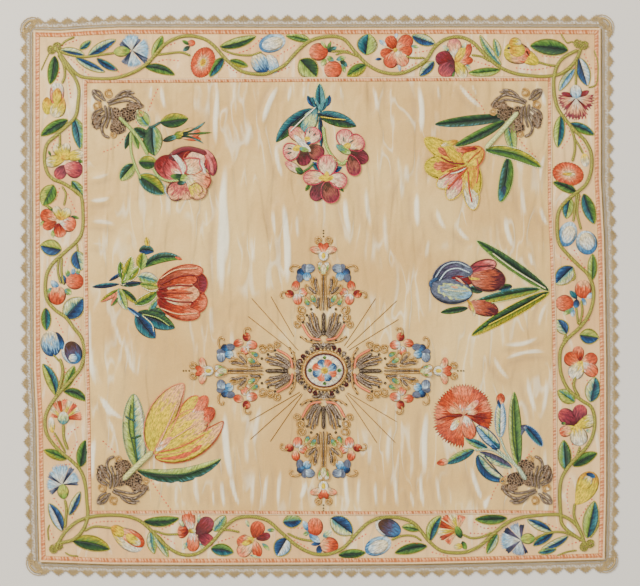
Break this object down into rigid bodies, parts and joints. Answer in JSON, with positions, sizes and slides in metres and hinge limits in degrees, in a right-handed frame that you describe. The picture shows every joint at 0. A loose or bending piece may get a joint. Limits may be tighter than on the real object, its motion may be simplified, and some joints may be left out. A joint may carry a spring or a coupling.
{
  "type": "chalice veil",
  "caption": "Square embroidered satin cloth with a metal lace edging, braided flower border, flower sprigs and a central cross, lying flat.",
  "frame": {"origin": "on the table, under the middle of the veil", "axes": "+X to the right edge, +Y to the upper edge, +Z away from the table"},
  "size_m": [0.5988, 0.5632, 0.0042],
  "materials": {
    "satin": "cream silk satin with a soft sheen",
    "metal_lace": "bobbin lace of pale gold metal thread",
    "braid": "twisted peach and gold braid",
    "silk_green": "couched cords and silk satin stitch, mostly greens",
    "silk_coral": "long-and-short silk stitch, corals, creams and greens",
    "metal_thread": "tarnished silver purl, beads and gold cord",
    "medallion_silk": "fine silk work on a padded round"
  },
  "bodies": {
    "root": {"satin_ground": "satin", "lace_top": "metal_lace", "lace_right": "metal_lace", "lace_bottom": "metal_lace", "lace_left": "metal_lace", "outer_braid_top": "braid", "outer_braid_right": "braid", "outer_braid_bottom": "braid", "outer_braid_left": "braid", "inner_braid_top": "braid", "inner_braid_right": "braid", "inner_braid_bottom": "braid", "inner_braid_left": "braid", "border_top": "silk_green", "border_right": "silk_green", "border_bottom": "silk_green", "border_left": "silk_green", "sprig_rose": "silk_coral", "sprig_pansies": "silk_coral", "sprig_lily": "silk_coral", "sprig_anemone": "silk_coral", "sprig_iris": "silk_coral", "sprig_tulip": "silk_coral", "sprig_carnation": "silk_coral", "cross_arm_top": "metal_thread", "cross_arm_right": "metal_thread", "cross_arm_bottom": "metal_thread", "cross_arm_left": "metal_thread", "medallion": "medallion_silk", "medallion_bead_ring": "metal_thread"}
  },
  "joints": []
}
